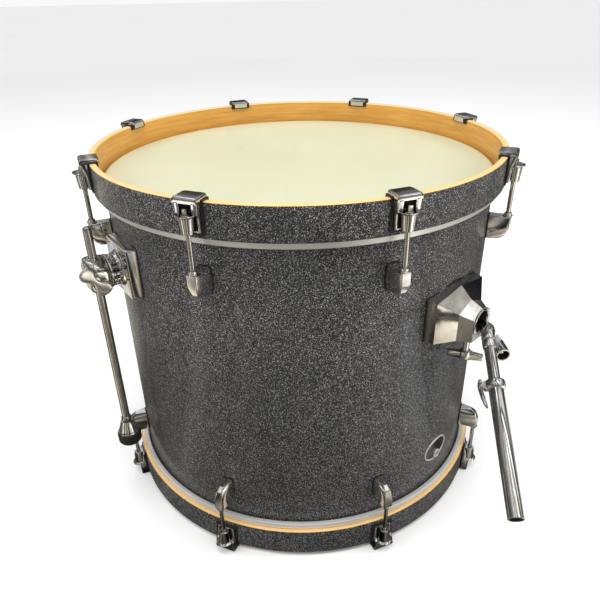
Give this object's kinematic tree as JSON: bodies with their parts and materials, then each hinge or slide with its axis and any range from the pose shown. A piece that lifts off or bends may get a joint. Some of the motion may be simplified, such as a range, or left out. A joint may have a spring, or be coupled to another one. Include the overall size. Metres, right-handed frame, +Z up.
{
  "type": "bass drum",
  "caption": "Bass drum standing on end: wrapped wooden shell, two heads clamped by hoops with claws and tension rods, folding spurs and a swinging tom holder tube.",
  "frame": {"origin": "middle of the whole assembly's footprint, on the surface that the lower claws stand on; the drum's own axis is at x = 0, y = 0.0783", "axes": "+Z up along the drum's axis towards the upper head; +Y along the longest side of the footprint, away from the open end of the holder tube, which points to -Y; +X to the drum's right seen from that end"},
  "size_m": [0.583, 0.7396, 0.537],
  "materials": {
    "shell_wrap": "plywood shell in a charcoal sparkle wrap, satin gloss",
    "hoop_wood": "maple hoop with a charcoal sparkle face, bare wood edge and inside",
    "drumhead": "cream coated film in a metal ring",
    "chrome": "polished chrome plate",
    "steel": "plated steel rod",
    "rubber": "black moulded rubber"
  },
  "bodies": {
    "drum": {"shell": "shell_wrap", "top_hoop": "hoop_wood", "bottom_hoop": "hoop_wood", "top_head": "drumhead", "bottom_head": "drumhead", "top_lug_1": "chrome", "top_lug_2": "chrome", "top_lug_3": "chrome", "top_lug_4": "chrome", "top_lug_5": "chrome", "top_lug_6": "chrome", "top_lug_7": "chrome", "top_lug_8": "chrome", "bottom_lug_1": "chrome", "bottom_lug_2": "chrome", "bottom_lug_3": "chrome", "bottom_lug_4": "chrome", "bottom_lug_5": "chrome", "bottom_lug_6": "chrome", "bottom_lug_7": "chrome", "bottom_lug_8": "chrome", "top_claw_1": "chrome", "top_claw_2": "chrome", "top_claw_3": "chrome", "top_claw_4": "chrome", "top_claw_5": "chrome", "top_claw_6": "chrome", "top_claw_7": "chrome", "top_claw_8": "chrome", "bottom_claw_and_rod_1": "chrome", "bottom_claw_and_rod_2": "chrome", "bottom_claw_and_rod_3": "chrome", "bottom_claw_and_rod_4": "chrome", "bottom_claw_and_rod_5": "chrome", "bottom_claw_and_rod_6": "chrome", "bottom_claw_and_rod_7": "chrome", "bottom_claw_and_rod_8": "chrome", "left_spur_bracket": "chrome", "right_spur_bracket": "chrome", "holder_base": "chrome"},
    "top_rod_1": {"top_rod_1": "steel"},
    "top_rod_2": {"top_rod_2": "steel"},
    "top_rod_3": {"top_rod_3": "steel"},
    "top_rod_4": {"top_rod_4": "steel"},
    "top_rod_5": {"top_rod_5": "steel"},
    "top_rod_6": {"top_rod_6": "steel"},
    "top_rod_7": {"top_rod_7": "steel"},
    "top_rod_8": {"top_rod_8": "steel"},
    "left_spur_swivel": {"left_spur_swivel": "chrome"},
    "left_spur_leg": {"left_spur_leg": "steel"},
    "left_spur_foot": {"left_spur_foot": "rubber"},
    "left_spur_wing_nut": {"left_spur_wing_nut": "chrome"},
    "right_spur_swivel": {"right_spur_swivel": "chrome"},
    "right_spur_leg": {"right_spur_leg": "steel"},
    "right_spur_foot": {"right_spur_foot": "rubber"},
    "right_spur_wing_nut": {"right_spur_wing_nut": "chrome"},
    "holder_clamp_bolt": {"holder_clamp_bolt": "chrome"},
    "holder_arm": {"holder_arm": "chrome"},
    "holder_sleeve": {"holder_sleeve": "chrome"},
    "holder_sleeve_screw": {"holder_sleeve_screw": "chrome"}
  },
  "joints": [
    {"name": "top_rod_1_turn", "type": "hinge", "parent": "drum", "child": "top_rod_1", "pos_m": [0.11538, -0.20027, 0.48], "axis": [0, 0, 1], "continuous": true},
    {"name": "top_rod_2_turn", "type": "hinge", "parent": "drum", "child": "top_rod_2", "pos_m": [0.27855, -0.0371, 0.48], "axis": [0, 0, 1], "continuous": true},
    {"name": "top_rod_3_turn", "type": "hinge", "parent": "drum", "child": "top_rod_3", "pos_m": [0.27855, 0.19366, 0.48], "axis": [0, 0, 1], "continuous": true},
    {"name": "top_rod_4_turn", "type": "hinge", "parent": "drum", "child": "top_rod_4", "pos_m": [0.11538, 0.35683, 0.48], "axis": [0, 0, 1], "continuous": true},
    {"name": "top_rod_5_turn", "type": "hinge", "parent": "drum", "child": "top_rod_5", "pos_m": [-0.11538, 0.35683, 0.48], "axis": [0, 0, 1], "continuous": true},
    {"name": "top_rod_6_turn", "type": "hinge", "parent": "drum", "child": "top_rod_6", "pos_m": [-0.27855, 0.19366, 0.48], "axis": [0, 0, 1], "continuous": true},
    {"name": "top_rod_7_turn", "type": "hinge", "parent": "drum", "child": "top_rod_7", "pos_m": [-0.27855, -0.0371, 0.48], "axis": [0, 0, 1], "continuous": true},
    {"name": "top_rod_8_turn", "type": "hinge", "parent": "drum", "child": "top_rod_8", "pos_m": [-0.11538, -0.20027, 0.48], "axis": [0, 0, 1], "continuous": true},
    {"name": "left_spur_swing", "type": "hinge", "parent": "drum", "child": "left_spur_swivel", "pos_m": [-0.24271, -0.09806, 0.408], "axis": [-0.809, -0.5878, 0], "range_deg": [-120, 0]},
    {"name": "left_spur_slide", "type": "slide", "parent": "left_spur_swivel", "child": "left_spur_leg", "axis": [0, 0, -1], "range_m": [-0.15, 0.04]},
    {"name": "left_spur_foot_turn", "type": "hinge", "parent": "left_spur_leg", "child": "left_spur_foot", "pos_m": [-0.25808, -0.10922, 0.14], "axis": [0, 0, 1], "continuous": true},
    {"name": "left_spur_wing_turn", "type": "hinge", "parent": "left_spur_swivel", "child": "left_spur_wing_nut", "pos_m": [-0.25262, -0.13289, 0.411], "axis": [0.5878, -0.809, 0], "continuous": true},
    {"name": "right_spur_swing", "type": "hinge", "parent": "drum", "child": "right_spur_swivel", "pos_m": [0.17634, 0.32098, 0.408], "axis": [0.5878, 0.809, 0], "range_deg": [0, 120]},
    {"name": "right_spur_slide", "type": "slide", "parent": "right_spur_swivel", "child": "right_spur_leg", "axis": [0, 0, -1], "range_m": [-0.15, 0.04]},
    {"name": "right_spur_foot_turn", "type": "hinge", "parent": "right_spur_leg", "child": "right_spur_foot", "pos_m": [0.1875, 0.33636, 0.14], "axis": [0, 0, 1], "continuous": true},
    {"name": "right_spur_wing_turn", "type": "hinge", "parent": "right_spur_swivel", "child": "right_spur_wing_nut", "pos_m": [0.21117, 0.3309, 0.411], "axis": [0.809, -0.5878, 0], "continuous": true},
    {"name": "holder_clamp_turn", "type": "hinge", "parent": "drum", "child": "holder_clamp_bolt", "pos_m": [0.21496, -0.13668, 0.31], "axis": [0, 0, 1], "continuous": true},
    {"name": "holder_swing", "type": "hinge", "parent": "drum", "child": "holder_arm", "pos_m": [0.2192, -0.14092, 0.349], "axis": [0.7071, -0.7071, 0], "range_deg": [-90, 90]},
    {"name": "holder_slide", "type": "slide", "parent": "holder_arm", "child": "holder_sleeve", "axis": [0.0662, 0.9014, 0.4279], "range_m": [-0.055, 0.02]},
    {"name": "holder_screw_turn", "type": "hinge", "parent": "holder_sleeve", "child": "holder_sleeve_screw", "pos_m": [0.20846, -0.22734, 0.31195], "axis": [-0.9468, 0.1921, -0.2582], "continuous": true}
  ]
}
